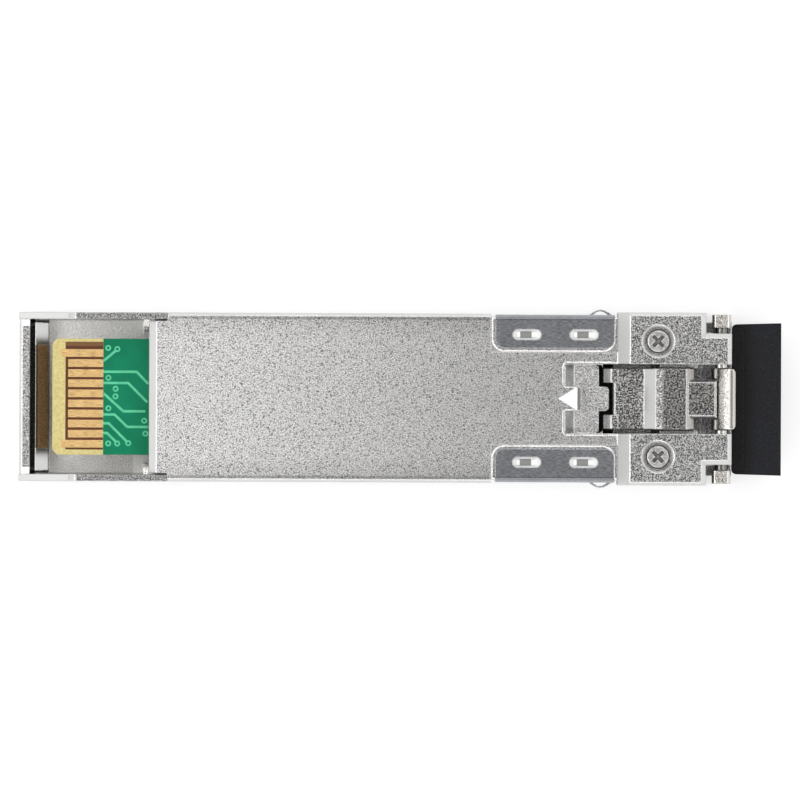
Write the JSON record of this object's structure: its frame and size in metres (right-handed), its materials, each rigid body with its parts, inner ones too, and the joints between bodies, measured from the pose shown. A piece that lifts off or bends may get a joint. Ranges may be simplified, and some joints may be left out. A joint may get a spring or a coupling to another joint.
{
  "type": "pluggable optical transceiver module",
  "caption": "Slim die-cast pluggable optical transceiver with card-edge contacts, a spring collar, a bail with a kick-out latch slider, and a black dust plug.",
  "frame": {"origin": "middle of the whole in plan, on the surface that the label side rests on", "axes": "+X from the electrical end to the optical end, +Z from the label face to the latch face"},
  "size_m": [0.0604, 0.0142, 0.0105],
  "materials": {
    "die_cast": "nickel-plated die casting with a fine blasted grain",
    "slider_cast": "nickel-plated casting, coarse grain on top and smooth on its slopes",
    "bail_cast": "nickel-plated casting, polished crank and grained arms",
    "spring_sheet": "rolled stainless spring sheet, satin",
    "screw_steel": "machined stainless steel",
    "spring_wire": "drawn spring wire",
    "board": "green solder mask over glass-fibre laminate, bare and olive at the contact end",
    "gold": "hard gold plating",
    "mask_trace": "copper traces seen through green solder mask",
    "insert_plastic": "black moulded plastic, matte",
    "gasket": "conductive foam, dark grey",
    "barrel_metal": "turned stainless steel",
    "can_metal": "drawn and plated can",
    "flex_film": "amber polyimide film",
    "chip_mould": "black moulding compound",
    "thermal_gel": "soft grey thermal pad",
    "capacitor_body": "brown ceramic with plated ends",
    "inductor_body": "dark moulded inductor",
    "plug_plastic": "black moulded plastic with a soft sheen"
  },
  "bodies": {
    "root": {"base_housing": "die_cast", "cover": "die_cast", "emi_collar": "spring_sheet", "nose_screw_left": "screw_steel", "nose_screw_right": "screw_steel", "slider_spring": "spring_wire", "receptacle_insert": "insert_plastic", "optics_gasket": "gasket", "transmitter_barrel": "barrel_metal", "receiver_barrel": "barrel_metal", "transmitter_can": "can_metal", "receiver_can": "can_metal", "transmitter_flex": "flex_film", "receiver_flex": "flex_film", "circuit_board": "board", "edge_contacts_upper": "gold", "edge_contacts_lower": "gold", "board_traces": "mask_trace", "laser_driver": "chip_mould", "limiting_amplifier": "chip_mould", "controller_chip": "chip_mould", "thermal_pad": "thermal_gel", "board_capacitors": "capacitor_body", "board_inductors": "inductor_body"},
    "bail": {"bail": "bail_cast"},
    "slider": {"latch_slider": "slider_cast"},
    "plug": {"dust_plug": "plug_plastic"}
  },
  "joints": [
    {"name": "bail_pivot", "type": "hinge", "parent": "root", "child": "bail", "pos_m": [0.02548, 0, 0.0087], "axis": [0, -1, 0], "range_deg": [0, 90]},
    {"name": "latch_slide", "type": "slide", "parent": "root", "child": "slider", "axis": [-1, 0, 0], "range_m": [0, 0.00141], "stiffness_N_per_m": 50, "deforming": ["slider_spring"]},
    {"name": "plug_pull", "type": "slide", "parent": "root", "child": "plug", "axis": [1, 0, 0], "range_m": [0, 0.008]}
  ],
  "couplings": [
    {"joint": "bail_pivot", "follows": "latch_slide", "rad_per_m": 1111.1}
  ]
}
